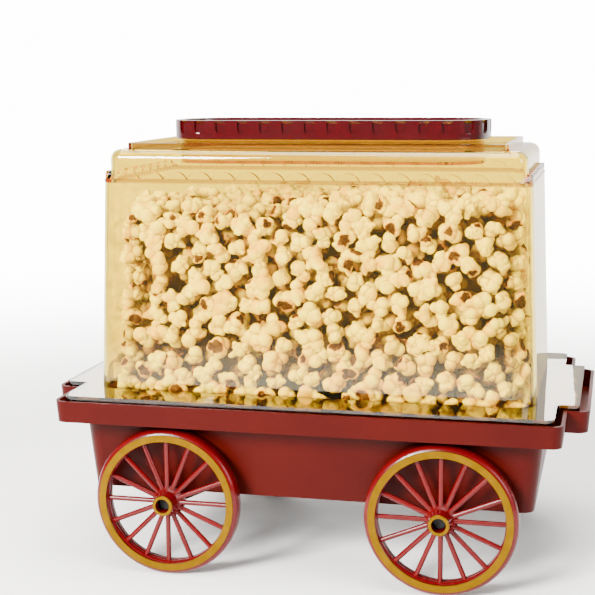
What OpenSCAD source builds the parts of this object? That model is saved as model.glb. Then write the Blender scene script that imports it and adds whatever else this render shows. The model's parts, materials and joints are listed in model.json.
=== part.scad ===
// Popcorn maker shaped like a circus wagon, all sizes in millimetres.
// Length runs along X, the front long side faces -Y, the wheels stand on Z = 0.

/* [Wagon body] */
// Overall length over the two end handles
overall_len = 419; // [390:1:440]
// Length of the rail over its corner parts
rail_len = 385.6; // [370:0.2:400]
// Depth of the rail from front to back
rail_dep = 248; // [230:1:260]
// Width of the end handles
handle_w = 151; // [130:1:170]
// Height of the rail wall
rail_h = 16.5; // [14:0.1:20]
// Wall thickness of the red moulding
wall_t = 2.6; // [2:0.1:3.2]
// Corner radius of the rail
rail_r = 8; // [7:0.5:12]
// How far the rail leans in at its foot
rail_lean = 1.4; // [0.6:0.1:2]
// Length of the tub at its top
tub_len = 355.4; // [335:0.2:362]
// Depth of the tub at its top
tub_dep = 206; // [200:1:210]
// Corner radius of the tub at its foot
tub_r = 9; // [7:0.5:12]
// How far the tub leans in at its foot
tub_lean = 6.2; // [5.4:0.1:8]

/* [Wheels] */
// Radius of a wheel
wheel_r = 57.2; // [52:0.1:62]
// Width of a wheel rim
rim_w = 14; // [12:0.5:16]
// Inner radius of a wheel rim
rim_in_r = 48.2; // [44:0.1:50]
// Number of spokes
spoke_n = 16; // [12:2:20]
// Thickness of a spoke
spoke_d = 3.8; // [3:0.1:5]
// Radius of the hub foot
hub_r = 12.5; // [11:0.5:15]
// Radius of the hub at its nose
nose_r = 7.9; // [7.4:0.1:9]
// How far the hub nose stands in front of the rim
nose_h = 6.4; // [5:0.1:10]
// Diameter of an axle
axle_d = 5; // [4:0.1:6]
// Distance of each axle from the middle
axle_x = 105.3; // [98:0.1:108]

/* [Clear cover] */
// Wall thickness of the clear cover
cover_t = 2.4; // [2:0.1:3]
// Height of the flange above the rail
flange_rise = 3.6; // [3:0.1:7]
// Length of the cover body at its foot
body_len = 341.8; // [335:0.2:350]
// Depth of the cover body at its foot
body_dep = 174; // [171:1:182]
// How far each side of the body leans in over its height
body_lean = 6.2; // [4:0.1:11]
// Height of the cover body from flange to ledge
body_h = 163.6; // [150:0.2:180]
// Corner radius of the body at the ledge
body_r = 11; // [10:0.5:16]
// Step from the body in to the shoulder
shoulder_in = 4; // [3:0.1:5]
// Height of the shoulder above the ledge
shoulder_h = 22.6; // [17:0.2:26]
// Rounding along the shoulder top
shoulder_f = 8; // [5:0.5:8]
// Width of one scallop
scallop_w = 19.1; // [18:0.1:19.8]
// Height of one scallop
scallop_h = 6.1; // [4:0.1:7.5]
// Scallops along each long side
scallop_long = 16; // [12:1:16]
// Scallops along each short side
scallop_short = 8; // [5:1:8]
// Height of the foot bar on top
bar_h = 4.8; // [3.6:0.1:8]
// Distance from each shoulder end in to the foot bar
bar_in = 13.7; // [9:0.1:15]
// Distance from each long shoulder wall in to the foot bar
bar_side = 5.4; // [4.8:0.1:8]
// Depth of the butter well below the shoulder top
well_deep = 13; // [10:0.5:16]
// Diameter of a drip hole in the well
drip_d = 2.4; // [2:0.1:3]

/* [Butter lid] */
// Length of the lid
lid_len = 253.2; // [240:0.2:262]
// Depth of the lid
lid_dep = 80.8; // [76:0.2:90]
// Height of the lid
lid_h = 14.8; // [13:0.1:18]
// End radius of the lid
lid_r = 36; // [33:0.5:37]
// Wall thickness of the lid skirt
lid_t = 3.6; // [3.2:0.1:4]
// Spacing of the crimps
crimp_pitch = 17.8; // [15:0.1:18.4]
// Width of a crimp
crimp_w = 8; // [6:0.1:9]
// Height of a crimp
crimp_h = 10.5; // [8:0.1:11.5]
// Depth of a crimp
crimp_d = 1.8; // [1:0.1:2]

/* [Popping plate] */
// Outer radius of the plate rim
plate_r = 79.5; // [77:0.5:80.5]
// Depth of the plate below its rim
plate_deep = 7; // [5:0.5:9]
// Thickness of the plate
plate_t = 2; // [1.6:0.1:2.6]
// Radius of the heating ring
element_r = 46; // [42:0.5:50]
// Thickness of the heating ring
element_d = 7; // [6:0.1:8]
// Diameter of the drive shaft
shaft_d = 6; // [5:0.1:7]
// Thickness of the stirring rod
rod_d = 4.5; // [4:0.1:5]
// Reach of the stirring rod
rod_reach = 62; // [50:1:64]

/* [Hidden] */
$fn = 48;
// running and seating clearances
run = 0.05;
seat = 0.1;
slip = 0.35;
// heights, from the floor up
axle_z = wheel_r;
tub_z = axle_z + 4.5;
rail_z = axle_z + wheel_r + 3.6;
rail_top = rail_z + rail_h;
deck_top = rail_z + wall_t;
flange_top = rail_top + flange_rise;
ledge_z = flange_top + body_h;
shoulder_top = ledge_z + shoulder_h;
bar_top = shoulder_top + bar_h;
// wheel faces and brackets
wheel_y = tub_dep / 2 + 1 + rim_w;
band_in = rim_in_r + 0.15;
band_out = rim_in_r + 5.4;
band_t = 1;
band_sink = 0.6;
hub_bore = axle_d + 2 * run;
cap_bore = 11;
cap_floor = -4;
hub_back = -(rim_w + 6);
bracket_t = 6;
bracket_y = tub_dep / 2 - tub_lean - 0.6 - bracket_t / 2;
bracket_w = 51;
boss_r = 8.5;
axle_half = wheel_y + cap_floor + 3;
// tub inside
shelf_z = tub_z + 3.6;
shelf_t = 2.6;
plate_edge_w = 2 * (bracket_y - bracket_t / 2 - 0.8);
screw_head = 6;
floor_len = tub_len - 2 * tub_lean - 2 * wall_t - 2;
deck_hole_r = plate_r - 3.6;
// popping plate heights
seal_t = 0.8;
seal_z = deck_top;
plate_z = seal_z + seal_t;
dish_r = plate_r - 9;
floor_top = plate_z + plate_t - plate_deep;
floor_low = floor_top - plate_t;
element_z = floor_low - element_d / 2 - run;
shield_z = element_z - element_d / 2 - 8;
bracket_top = shield_z - 2;
motor_top = bracket_top - 1.6;
motor_h = min(21, motor_top - shelf_z - 4);
stud_r = 60;
stud_d = 5;
bush_r = shaft_d / 2 + 1.6;
hub_top = floor_top + 24;
hub_low = floor_top + 4.4;
rod_z = hub_low + 12;
shaft_top = rod_z - rod_d / 2 - 0.8;
rod_low = floor_top + rod_d / 2 + 0.5;
// cover
side_gap = 0.6;
end_gap = 4.6;
flange_len = rail_len - 2 * (wall_t + end_gap);
flange_dep = rail_dep - 2 * (wall_t + side_gap + rail_lean);
flange_ends = overall_len - 2 * (wall_t + end_gap + 0.7);
flange_hw = handle_w - 2 * (wall_t + side_gap + rail_lean);
flange_low = deck_top + seat;
top_len = body_len - 2 * body_lean;
top_dep = body_dep - 2 * body_lean;
sh_len = top_len - 2 * shoulder_in;
sh_dep = top_dep - 2 * shoulder_in;
sh_r = body_r - shoulder_in + 3;
bar_len = sh_len - 2 * bar_in;
bar_dep = sh_dep - 2 * bar_side;
bar_w = 3.6;
ridge_len = body_len - 2 * cover_t - 2;
ridge_dep = body_dep - 2 * cover_t - 2;
// lid and butter well
collar_gap = slip;
collar_len = lid_len - 2 * lid_t - 2 * collar_gap;
collar_dep = lid_dep - 2 * lid_t - 2 * collar_gap;
collar_r = lid_r - lid_t - collar_gap;
collar_t = 2.2;
lid_z = bar_top + 1.4;
lid_top = lid_z + lid_h;
panel_top = lid_top - 3;
panel_low = panel_top - 2.4;
well_z = shoulder_top - well_deep;
// power inlet
inlet_x = 24;
inlet_z = (tub_z + rail_z) / 2 + 2;
inlet_w = 30;
inlet_h = 20;
pin_d = 4;
root_d = 5;

// ---- shared shapes ----

// flat rounded rectangle
module rrect(l, w, r) {
  square([l - 2 * r, w], center = true);
  square([l, w - 2 * r], center = true);
  for (sx = [-1, 1], sy = [-1, 1])
    translate([sx * (l / 2 - r), sy * (w / 2 - r)])
      circle(r = r);
}

// box with round upright corners whose sides move out by grow over the height h
module draft_box(l, w, r, grow, h) {
  cx = l / 2 - r;
  cy = w / 2 - r;
  rotate([90, 0, 0])
    linear_extrude(2 * cy, center = true)
      polygon([[-cx - r, 0], [cx + r, 0], [cx + r + grow, h], [-cx - r - grow, h]]);
  rotate([90, 0, 90])
    linear_extrude(2 * cx, center = true)
      polygon([[-cy - r, 0], [cy + r, 0], [cy + r + grow, h], [-cy - r - grow, h]]);
  for (sx = [-1, 1], sy = [-1, 1])
    translate([sx * cx, sy * cy, 0])
      cylinder(r1 = r, r2 = r + grow, h = h);
}

// upright box with round corners and a rounding f along its top edge
module round_top(l, w, r, f, h) {
  linear_extrude(h - f)
    rrect(l, w, r);
  linear_extrude(h)
    rrect(l - 2 * f, w - 2 * f, r - f);
  for (s = [-1, 1]) {
    translate([0, s * (w / 2 - f), h - f])
      rotate([0, 90, 0])
        cylinder(r = f, h = l - 2 * r, center = true);
    translate([s * (l / 2 - f), 0, h - f])
      rotate([90, 0, 0])
        cylinder(r = f, h = w - 2 * r, center = true);
  }
  for (sx = [-1, 1], sy = [-1, 1])
    translate([sx * (l / 2 - r), sy * (w / 2 - r), h - f])
      rotate_extrude()
        intersection() {
          translate([r - f, 0])
            circle(r = f);
          translate([0, -f])
            square([r + f, 2 * f]);
        }
}

// flat plan of a rectangle with wider middle parts at both ends
module cross_plan(l, w, ends, hw, r, inner) {
  rrect(l, w, r);
  rrect(ends, hw, r - 3);
  for (sx = [-1, 1], sy = [-1, 1])
    translate([sx * l / 2, sy * hw / 2])
      scale([sx, sy])
        difference() {
          square(inner);
          translate([inner, inner])
            circle(r = inner);
        }
}

// ---- wagon body ----

// outline block of the rail, drawn in by t on every side
module rail_block(t, z0, z1) {
  grow = rail_lean * (z1 - z0) / rail_h;
  low = rail_lean * (rail_top - z0) / rail_h;
  r = rail_r + rail_lean - low - t;
  translate([0, 0, z0]) {
    draft_box(rail_len - 2 * t - 2 * low, rail_dep - 2 * t - 2 * low, r, grow, z1 - z0);
    draft_box(overall_len - 2 * t - 2 * low, handle_w - 2 * t - 2 * low, r, grow, z1 - z0);
  }
}

// outline block of the tub, drawn in by t on every side
module tub_block(t, z0, z1) {
  rise = rail_z - tub_z;
  grow = tub_lean * (z1 - z0) / rise;
  low = tub_lean * (rail_z - z0) / rise;
  r = tub_r + tub_lean - low - t;
  translate([0, 0, z0])
    draft_box(tub_len - 2 * t - 2 * low, tub_dep - 2 * t - 2 * low, r, grow, z1 - z0);
}

// one hanging bracket with its axle boss, at the front side
module axle_bracket() {
  inner = bracket_y - bracket_t / 2;
  translate([0, -bracket_y, axle_z])
    rotate([90, 0, 0])
      linear_extrude(bracket_t, center = true)
        polygon([[-boss_r * 0.8, -boss_r * 0.5], [boss_r * 0.8, -boss_r * 0.5],
          [bracket_w / 2, tub_z - axle_z], [bracket_w / 2, shelf_z + shelf_t - axle_z],
          [-bracket_w / 2, shelf_z + shelf_t - axle_z], [-bracket_w / 2, tub_z - axle_z]]);
  translate([0, -inner, axle_z])
    rotate([90, 0, 0])
      cylinder(r = boss_r, h = wheel_y + hub_back - 0.5 - inner);
}

// places of the six floor screws
module floor_points() {
  for (sx = [-1, 0, 1], sy = [-1, 1])
    translate([sx * (floor_len / 2 - 12), sy * (plate_edge_w / 2 - 7), 0])
      children();
}

module wagon_tub() {
  color([0.6, 0.12, 0.1])
    difference() {
      union() {
        difference() {
          rail_block(0, rail_z, rail_top);
          rail_block(wall_t, deck_top, rail_top + 1);
        }
        difference() {
          tub_block(0, tub_z, rail_z + 0.1);
          tub_block(wall_t, tub_z - 2, rail_z + 0.05);
        }
        // shelf inside the foot for the floor plate
        intersection() {
          tub_block(0.5, shelf_z - 1, shelf_z + shelf_t + 1);
          translate([0, 0, shelf_z])
            linear_extrude(shelf_t)
              difference() {
                square([tub_len, tub_dep], center = true);
                square([floor_len - 46, plate_edge_w - 30], center = true);
              }
        }
        for (sx = [-1, 1], sy = [-1, 1])
          translate([sx * axle_x, 0, 0])
            scale([1, -sy, 1])
              axle_bracket();
        floor_points()
          translate([0, 0, shelf_z])
            cylinder(d = 8, h = 12);
        // ridge that keeps the cover in place
        translate([0, 0, rail_z + 0.5])
          linear_extrude(wall_t + 5.5)
            difference() {
              rrect(ridge_len, ridge_dep, 18);
              rrect(ridge_len - 4, ridge_dep - 4, 16);
            }
        // collar below the plate opening
        translate([0, 0, rail_z - 9])
          difference() {
            cylinder(r = deck_hole_r + 2.4, h = 9.5);
            translate([0, 0, -1])
              cylinder(r = deck_hole_r, h = 12);
          }
        // stiffening ribs under the deck
        for (sx = [-1, 1], y = [-45, 0, 45])
          translate([sx * (deck_hole_r + 44), y, rail_z - 6])
            cube([tub_len - 2 * deck_hole_r - 166, 2, 13], center = true);
      }
      translate([0, 0, rail_z - 1])
        cylinder(r = deck_hole_r, h = wall_t + 8);
      for (sx = [-1, 1])
        translate([sx * axle_x, 0, axle_z])
          rotate([90, 0, 0])
            cylinder(d = axle_d + 2 * run, h = tub_dep + 20, center = true);
      floor_points()
        translate([0, 0, shelf_z - 1])
          cylinder(d = 2.8, h = 12);
      translate([inlet_x, tub_dep / 2 - 6, inlet_z])
        cube([inlet_w + 2 * seat, 24, inlet_h + 2 * seat], center = true);
    }
}

module bottom_cover() {
  color([0.16, 0.15, 0.15])
    difference() {
      translate([0, 0, tub_z + 1])
        linear_extrude(shelf_z - tub_z - 1 - seat / 2)
          rrect(floor_len, plate_edge_w, 7);
      floor_points()
        translate([0, 0, tub_z]) {
          cylinder(d = 3.2, h = 8);
          cylinder(d = screw_head + 0.6, h = 2.5);
        }
      for (x = [-40 : 10 : 40], sy = [-1, 1])
        translate([x, sy * 38, tub_z + 2])
          cube([4, 40, 8], center = true);
    }
}

module bottom_screws() {
  color([0.6, 0.6, 0.62])
    floor_points()
      translate([0, 0, tub_z + 1.1]) {
        difference() {
          cylinder(d = screw_head, h = 1.4);
          translate([0, 0, -0.4])
            cube([4.6, 0.8, 1.6], center = true);
        }
        cylinder(d = 2.7, h = 9.3);
      }
}

// ---- wheels ----

// carries a wheel part, drawn with its face at z = 0 looking outwards, to one corner
module at_corner(sx, sy) {
  translate([sx * axle_x, sy * wheel_y, axle_z])
    rotate([-90 * sy, 0, 0])
      children();
}

module wheel() {
  color([0.68, 0.1, 0.1])
    difference() {
      union() {
        difference() {
          rotate_extrude($fn = 96) {
            translate([rim_in_r, -rim_w])
              square([wheel_r - 5 - rim_in_r, rim_w]);
            translate([rim_in_r, 5 - rim_w])
              square([wheel_r - rim_in_r, rim_w - 10]);
            translate([wheel_r - 5, -5])
              circle(r = 5);
            translate([wheel_r - 5, 5 - rim_w])
              circle(r = 5);
          }
          translate([0, 0, -band_sink])
            rotate_extrude($fn = 96)
              translate([rim_in_r - 1, 0])
                square([band_out + 0.1 - rim_in_r + 1, 4]);
        }
        for (i = [0 : spoke_n - 1])
          rotate([0, 0, i * 360 / spoke_n])
            translate([nose_r - 1, 0, -5.5])
              rotate([0, 90, 0])
                cylinder(d = spoke_d, h = rim_in_r + 1.5 - nose_r + 1);
        rotate_extrude() {
          polygon([[0, hub_back], [8.4, hub_back], [8.4, -12.5], [hub_r, -12], [hub_r, -6.5],
            [nose_r + 1.3, -2.5], [nose_r, nose_h], [0, nose_h]]);
        }
      }
      translate([0, 0, hub_back - 1])
        cylinder(d = hub_bore, h = 60);
      translate([0, 0, cap_floor])
        cylinder(d = cap_bore, h = 40);
    }
}

module rim_ring() {
  color([0.85, 0.62, 0.15])
    translate([0, 0, -band_sink])
      rotate_extrude($fn = 96)
        translate([band_in, 0])
          square([band_out - band_in, band_t]);
}

module hub_ring() {
  color([0.9, 0.68, 0.25])
    translate([0, 0, nose_h])
      rotate_extrude()
        polygon([[cap_bore / 2, 0], [nose_r - 0.05, 0], [nose_r - 0.05, 0.8], [nose_r - 0.5, 1.2],
          [cap_bore / 2, 1.2]]);
}

module axle_rod(sx) {
  color([0.7, 0.7, 0.72])
    translate([sx * axle_x, 0, axle_z])
      rotate([90, 0, 0])
        cylinder(d = axle_d, h = 2 * axle_half, center = true);
}

module axle_caps() {
  color([0.1, 0.1, 0.1])
    for (sx = [-1, 1], sy = [-1, 1])
      at_corner(sx, sy)
        translate([0, 0, cap_floor + 0.2])
          difference() {
            union() {
              cylinder(d = cap_bore - 1, h = 1);
              cylinder(d = cap_bore - 2.4, h = 4.4);
            }
            translate([0, 0, -1])
              cylinder(d = axle_d + 2 * run, h = 4);
          }
}

// ---- popping plate and drive ----

module popping_plate() {
  color([0.22, 0.22, 0.23])
    difference() {
      rotate_extrude($fn = 96)
        polygon([[bush_r, floor_low], [dish_r - 5, floor_low], [dish_r, plate_z - 2],
          [deck_hole_r - 0.6, plate_z - 2], [deck_hole_r - 0.6, plate_z], [plate_r, plate_z],
          [plate_r, plate_z + plate_t - 0.6], [plate_r - 0.6, plate_z + plate_t],
          [dish_r + 1, plate_z + plate_t], [dish_r - 5, floor_top], [bush_r + 4, floor_top],
          [bush_r + 2, floor_top + 2.6], [bush_r, floor_top + 2.6]]);
      translate([0, 0, floor_low - 1])
        cylinder(r = bush_r, h = 9);
    }
}

module plate_seal() {
  color([0.5, 0.2, 0.16])
    translate([0, 0, seal_z])
      difference() {
        cylinder(r = plate_r - 0.3, h = seal_t);
        translate([0, 0, -1])
          cylinder(r = deck_hole_r + 0.1, h = 3);
      }
}

module heating_element() {
  color([0.35, 0.34, 0.33])
    union() {
      translate([0, 0, element_z])
        rotate([0, 0, 15])
          rotate_extrude(angle = 330, $fn = 96)
            translate([element_r, 0])
              circle(d = element_d);
      for (s = [-1, 1])
        rotate([0, 0, s * 18])
          translate([element_r, 0, element_z - element_d / 2 - 3])
            cylinder(d = 3, h = 5);
    }
}

// places of the two hanging studs
module stud_points() {
  for (s = [-1, 1])
    rotate([0, 0, 90])
      translate([s * stud_r, 0, 0])
        children();
}

module heat_shield() {
  color([0.78, 0.78, 0.79])
    difference() {
      rotate_extrude($fn = 96)
        polygon([[12, shield_z], [deck_hole_r - 12, shield_z], [deck_hole_r - 3, element_z + 2],
          [deck_hole_r - 3.9, element_z + 2], [deck_hole_r - 12.6, shield_z + 0.8], [12, shield_z + 0.8]]);
      stud_points()
        translate([0, 0, shield_z - 1])
          cylinder(d = stud_d - 0.9, h = 4);
      for (s = [-1, 1])
        rotate([0, 0, s * 18])
          translate([element_r, 0, shield_z - 1])
            cylinder(d = 8, h = 4);
    }
}

module plate_studs() {
  color([0.66, 0.66, 0.68])
    stud_points() {
      translate([0, 0, shield_z + 0.8])
        cylinder(d = stud_d + 2, h = floor_low - shield_z - 0.8);
      translate([0, 0, motor_top - 4.4])
        cylinder(d = stud_d - 1, h = floor_low - motor_top + 2);
      translate([0, 0, bracket_top])
        difference() {
          cylinder(d = stud_d + 2, h = shield_z - bracket_top);
          translate([0, 0, -1])
            cylinder(d = stud_d - 1.2, h = 5);
        }
    }
}

module stud_nuts() {
  color([0.72, 0.72, 0.74])
    stud_points()
      translate([0, 0, motor_top - 3])
        difference() {
          cylinder(d = 8, h = 3, $fn = 6);
          translate([0, 0, -1])
            cylinder(d = stud_d - 1, h = 5);
        }
}

module motor_bracket() {
  color([0.7, 0.71, 0.72])
    difference() {
      translate([0, 0, motor_top])
        linear_extrude(bracket_top - motor_top)
          rrect(34, 2 * stud_r + 16, 6);
      stud_points()
        translate([0, 0, motor_top - 1])
          cylinder(d = stud_d - 0.9, h = 4);
      translate([0, 0, motor_top - 1])
        cylinder(d = shaft_d + 8, h = 4);
      for (s = [-1, 1])
        translate([0, s * 30, motor_top - 1])
          cylinder(d = 3.2, h = 4);
    }
}

module gearmotor() {
  color([0.62, 0.63, 0.66])
    difference() {
      union() {
        translate([0, 0, motor_top - motor_h])
          cylinder(r = 25, h = motor_h, $fn = 96);
        translate([0, 0, motor_top])
          cylinder(r = shaft_d / 2 + 2.4, h = 2.4);
        translate([0, 0, motor_top - 1.2])
          linear_extrude(1.2)
            rrect(12, 68, 5);
      }
      translate([0, 0, motor_top - 9])
        cylinder(d = shaft_d + 2 * run, h = 20);
      for (s = [-1, 1])
        translate([0, s * 30, motor_top - 3])
          cylinder(d = 2.5, h = 5);
    }
}

module motor_screws() {
  color([0.6, 0.6, 0.62])
    for (s = [-1, 1])
      translate([0, s * 30, motor_top - 3]) {
        cylinder(d = 2.4, h = 3 + bracket_top - motor_top);
        translate([0, 0, 3 + bracket_top - motor_top])
          difference() {
            cylinder(d = 5, h = 1.3);
            translate([0, 0, 1.2])
              cube([3.6, 0.7, 1], center = true);
          }
      }
}

module shaft_bush() {
  color([0.75, 0.6, 0.3])
    translate([0, 0, floor_low])
      difference() {
        union() {
          cylinder(r = bush_r, h = floor_top - floor_low + 2.6);
          translate([0, 0, -1.4])
            cylinder(r = bush_r + 1.6, h = 1.4);
        }
        translate([0, 0, -3])
          cylinder(d = shaft_d + 2 * run, h = 12);
      }
}

module thermostat() {
  color([0.68, 0.67, 0.64])
    translate([-26, 0, floor_low]) {
      translate([0, 0, -3])
        cylinder(d = 16, h = 3);
      translate([0, 0, -9])
        cylinder(d = 13, h = 6.5);
      for (s = [-1, 1])
        translate([-2, s * 3.5 - 0.4, -11])
          cube([4, 0.8, 3]);
    }
}

module thermal_fuse() {
  color([0.8, 0.78, 0.72])
    translate([26, 0, floor_low - 2.6])
      rotate([90, 0, 0]) {
        cylinder(d = 4.4, h = 12, center = true);
        cylinder(d = 1, h = 18, center = true);
      }
}

module drive_shaft() {
  color([0.72, 0.72, 0.74])
    translate([0, 0, motor_top - 8])
      cylinder(d = shaft_d, h = shaft_top - motor_top + 8);
}

module stir_hub() {
  color([0.12, 0.12, 0.12])
    difference() {
      translate([0, 0, hub_low])
        rotate_extrude()
          polygon([[0, 0], [9, 0], [11, 2], [11, 13], [8, hub_top - hub_low - 1],
            [6.6, hub_top - hub_low], [0, hub_top - hub_low]]);
      translate([0, 0, hub_low - 1])
        cylinder(d = shaft_d, h = shaft_top - hub_low + 1);
      translate([0, 0, rod_z])
        rotate([0, 90, 0])
          cylinder(d = rod_d + 2 * run, h = 40, center = true);
    }
}

// one rod from a point to a point
module rod_part(a, b, d) {
  v = b - a;
  len = norm(v);
  translate(a)
    rotate([0, acos(v[2] / len), atan2(v[1], v[0])])
      cylinder(d = d, h = len);
}

module stir_arm() {
  color([0.74, 0.74, 0.76])
    union() {
      rod_part([-16, 0, rod_z], [16, 0, rod_z], rod_d);
      for (s = [-1, 1]) {
        translate([s * 16, 0, rod_z])
          sphere(d = rod_d + 0.3);
        rod_part([s * 16, 0, rod_z], [s * 27, 0, rod_low], rod_d);
        translate([s * 27, 0, rod_low])
          sphere(d = rod_d + 0.3);
        rod_part([s * 27, 0, rod_low], [s * rod_reach, 0, rod_low], rod_d);
        translate([s * rod_reach, 0, rod_low])
          sphere(d = rod_d + 0.3);
      }
    }
}

module power_inlet() {
  color([0.07, 0.07, 0.07])
    difference() {
      union() {
        translate([inlet_x, tub_dep / 2 - 12, inlet_z])
          cube([inlet_w, 19, inlet_h], center = true);
        translate([inlet_x, tub_dep / 2 - 9, inlet_z])
          cube([inlet_w + 6, 2.4, inlet_h + 6], center = true);
      }
      translate([inlet_x, tub_dep / 2 - 4, inlet_z])
        rotate([90, 0, 0])
          linear_extrude(26, center = true)
            rrect(inlet_w - 5, inlet_h - 5, 4);
      inlet_pin_points()
        cylinder(d = root_d + 2 * run, h = 40, center = true);
    }
}

// places of the two inlet pins
module inlet_pin_points() {
  for (s = [-1, 1])
    translate([inlet_x + s * 6.5, tub_dep / 2 - 16, inlet_z])
      rotate([90, 0, 0])
        children();
}

module inlet_pins() {
  color([0.75, 0.72, 0.66])
    inlet_pin_points() {
      cylinder(d = pin_d, h = 23, center = true);
      translate([0, 0, 1])
        cylinder(d = root_d, h = 10.5);
    }
}

// ---- clear cover ----

// shoulder block, drawn in by t
module shoulder_block(t, h) {
  round_top(sh_len - 2 * t, sh_dep - 2 * t, sh_r - t, shoulder_f - t, h);
}

// row of scallops that stands on the ledge, as a ring round the shoulder
module scallops() {
  drop = (pow(scallop_w / 2, 2) - pow(scallop_h, 2)) / (2 * scallop_h);
  arc_r = scallop_h + drop;
  intersection() {
    translate([0, 0, ledge_z - 1])
      linear_extrude(scallop_h + 2)
        difference() {
          rrect(top_len - 0.4, top_dep - 0.4, body_r);
          rrect(sh_len - 1, sh_dep - 1, sh_r);
        }
    union() {
      for (i = [0 : scallop_long - 1])
        translate([(i - (scallop_long - 1) / 2) * scallop_w, 0, ledge_z - drop])
          rotate([90, 0, 0])
            cylinder(r = arc_r, h = top_dep + 10, center = true);
      for (i = [0 : scallop_short - 1], s = [-1, 1])
        translate([s * (top_len / 2 - 4), (i - (scallop_short - 1) / 2) * scallop_w, ledge_z - drop])
          rotate([0, 90, 0])
            cylinder(r = arc_r, h = 20, center = true);
    }
  }
}

module flange_plan(t) {
  cross_plan(flange_len - 2 * t, flange_dep - 2 * t, flange_ends - 2 * t, flange_hw - 2 * t, rail_r - 2 - t / 2, 3);
}

module clear_cover() {
  color([0.93, 0.86, 0.6, 0.45])
    difference() {
      union() {
        difference() {
          union() {
            translate([0, 0, flange_low])
              linear_extrude(flange_top - flange_low)
                flange_plan(0);
            translate([0, 0, flange_top - 0.5])
              draft_box(body_len, body_dep, body_r + body_lean, -body_lean, body_h + 0.5);
            translate([0, 0, ledge_z - 2.2])
              linear_extrude(2)
                rrect(top_len + 0.8, top_dep + 0.8, body_r + 0.4);
            translate([0, 0, ledge_z - 3])
              shoulder_block(0, shoulder_h + 3);
            scallops();
          }
          translate([0, 0, flange_low - 1])
            linear_extrude(flange_top - flange_low + 1 - cover_t)
              flange_plan(cover_t);
          translate([0, 0, flange_top - 0.5])
            draft_box(body_len - 2 * cover_t, body_dep - 2 * cover_t, body_r + body_lean - cover_t,
              -body_lean, body_h + 0.5 - 3);
          translate([0, 0, flange_top - cover_t - 1])
            linear_extrude(cover_t + 1)
              rrect(body_len - 2 * cover_t, body_dep - 2 * cover_t, body_r + body_lean - cover_t);
          translate([0, 0, ledge_z - 4])
            shoulder_block(cover_t, shoulder_h + 4 - cover_t);
        }
        // foot bar
        translate([0, 0, shoulder_top - 1.6])
          linear_extrude(bar_h + 1.6)
            difference() {
              rrect(bar_len, bar_dep, 6);
              rrect(bar_len - 2 * bar_w, bar_dep - 2 * bar_w, 3);
            }
        // well wall and collar
        translate([0, 0, well_z])
          linear_extrude(panel_low - well_z - seat)
            rrect(collar_len, collar_dep, collar_r);
      }
      translate([0, 0, well_z + cover_t])
        linear_extrude(60)
          rrect(collar_len - 2 * collar_t, collar_dep - 2 * collar_t, collar_r - collar_t);
      for (x = [-90 : 20 : 90], y = [-18, 0, 18])
        translate([x, y, well_z - 1])
          cylinder(d = drip_d, h = 6, $fn = 24);
    }
}

// ---- butter lid ----

// one crimp cutter: x along the skirt, y outwards, top of the lid at z = 0
module crimp_cut() {
  intersection() {
    rotate([90, 0, 0])
      linear_extrude(8, center = true) {
        translate([0, crimp_w / 2 - crimp_h])
          circle(d = crimp_w);
        translate([-crimp_w / 2, crimp_w / 2 - crimp_h])
          square([crimp_w, crimp_h]);
      }
    rotate([90, 0, 90])
      linear_extrude(crimp_w + 2, center = true)
        polygon([[2, 1], [2, -lid_h], [-crimp_d, -lid_h], [-crimp_d, -2.4], [0.3, 0.4], [0.3, 1]]);
  }
}

// every crimp round the skirt, one in the middle of each end
module crimps() {
  straight = lid_len / 2 - lid_r;
  side_n = floor(straight / crimp_pitch + 0.5);
  first = (side_n + 0.5) * crimp_pitch - straight;
  end_n = floor((lid_r * PI / 2 + lid_dep / 2 - lid_r - first) / crimp_pitch + 0.2);
  for (sx = [-1, 1], sy = [-1, 1], i = [1 : side_n])
    translate([sx * (i - 0.5) * crimp_pitch, sy * lid_dep / 2, 0])
      scale([1, sy, 1])
        crimp_cut();
  for (sx = [-1, 1], sy = [-1, 1], i = [0 : end_n - 1])
    translate([sx * straight, sy * (lid_dep / 2 - lid_r), 0])
      scale([sx, sy, 1])
        rotate([0, 0, -(first + i * crimp_pitch) / lid_r * 180 / PI])
          translate([0, lid_r, 0])
            crimp_cut();
  for (sx = [-1, 1])
    translate([sx * lid_len / 2, 0, 0])
      rotate([0, 0, -90 * sx])
        crimp_cut();
}

module butter_lid() {
  color([0.55, 0.05, 0.1])
    difference() {
      translate([0, 0, lid_z]) {
        translate([0, 0, 0.8])
          linear_extrude(lid_h - 0.8)
            rrect(lid_len, lid_dep, lid_r);
        linear_extrude(1)
          rrect(lid_len - 1.2, lid_dep - 1.2, lid_r - 0.6);
      }
      translate([0, 0, panel_top])
        linear_extrude(10)
          rrect(lid_len - 13, lid_dep - 13, lid_r - 6.5);
      translate([0, 0, lid_z - 1])
        linear_extrude(panel_low - lid_z + 1)
          rrect(lid_len - 2 * lid_t, lid_dep - 2 * lid_t, lid_r - lid_t);
      translate([0, 0, lid_top])
        crimps();
    }
}

// ---- pieces ----
wagon_tub();
bottom_cover();
bottom_screws();
axle_rod(-1);  // axle_left
axle_rod(1);  // axle_right
axle_caps();
at_corner(-1, -1) wheel();  // wheel_fl
at_corner(1, -1) wheel();  // wheel_fr
at_corner(-1, 1) wheel();  // wheel_rl
at_corner(1, 1) wheel();  // wheel_rr
at_corner(-1, -1) rim_ring();  // rim_ring_fl
at_corner(1, -1) rim_ring();  // rim_ring_fr
at_corner(-1, 1) rim_ring();  // rim_ring_rl
at_corner(1, 1) rim_ring();  // rim_ring_rr
at_corner(-1, -1) hub_ring();  // hub_ring_fl
at_corner(1, -1) hub_ring();  // hub_ring_fr
at_corner(-1, 1) hub_ring();  // hub_ring_rl
at_corner(1, 1) hub_ring();  // hub_ring_rr
popping_plate();
plate_seal();
heating_element();
heat_shield();
plate_studs();
stud_nuts();
motor_bracket();
gearmotor();
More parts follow.
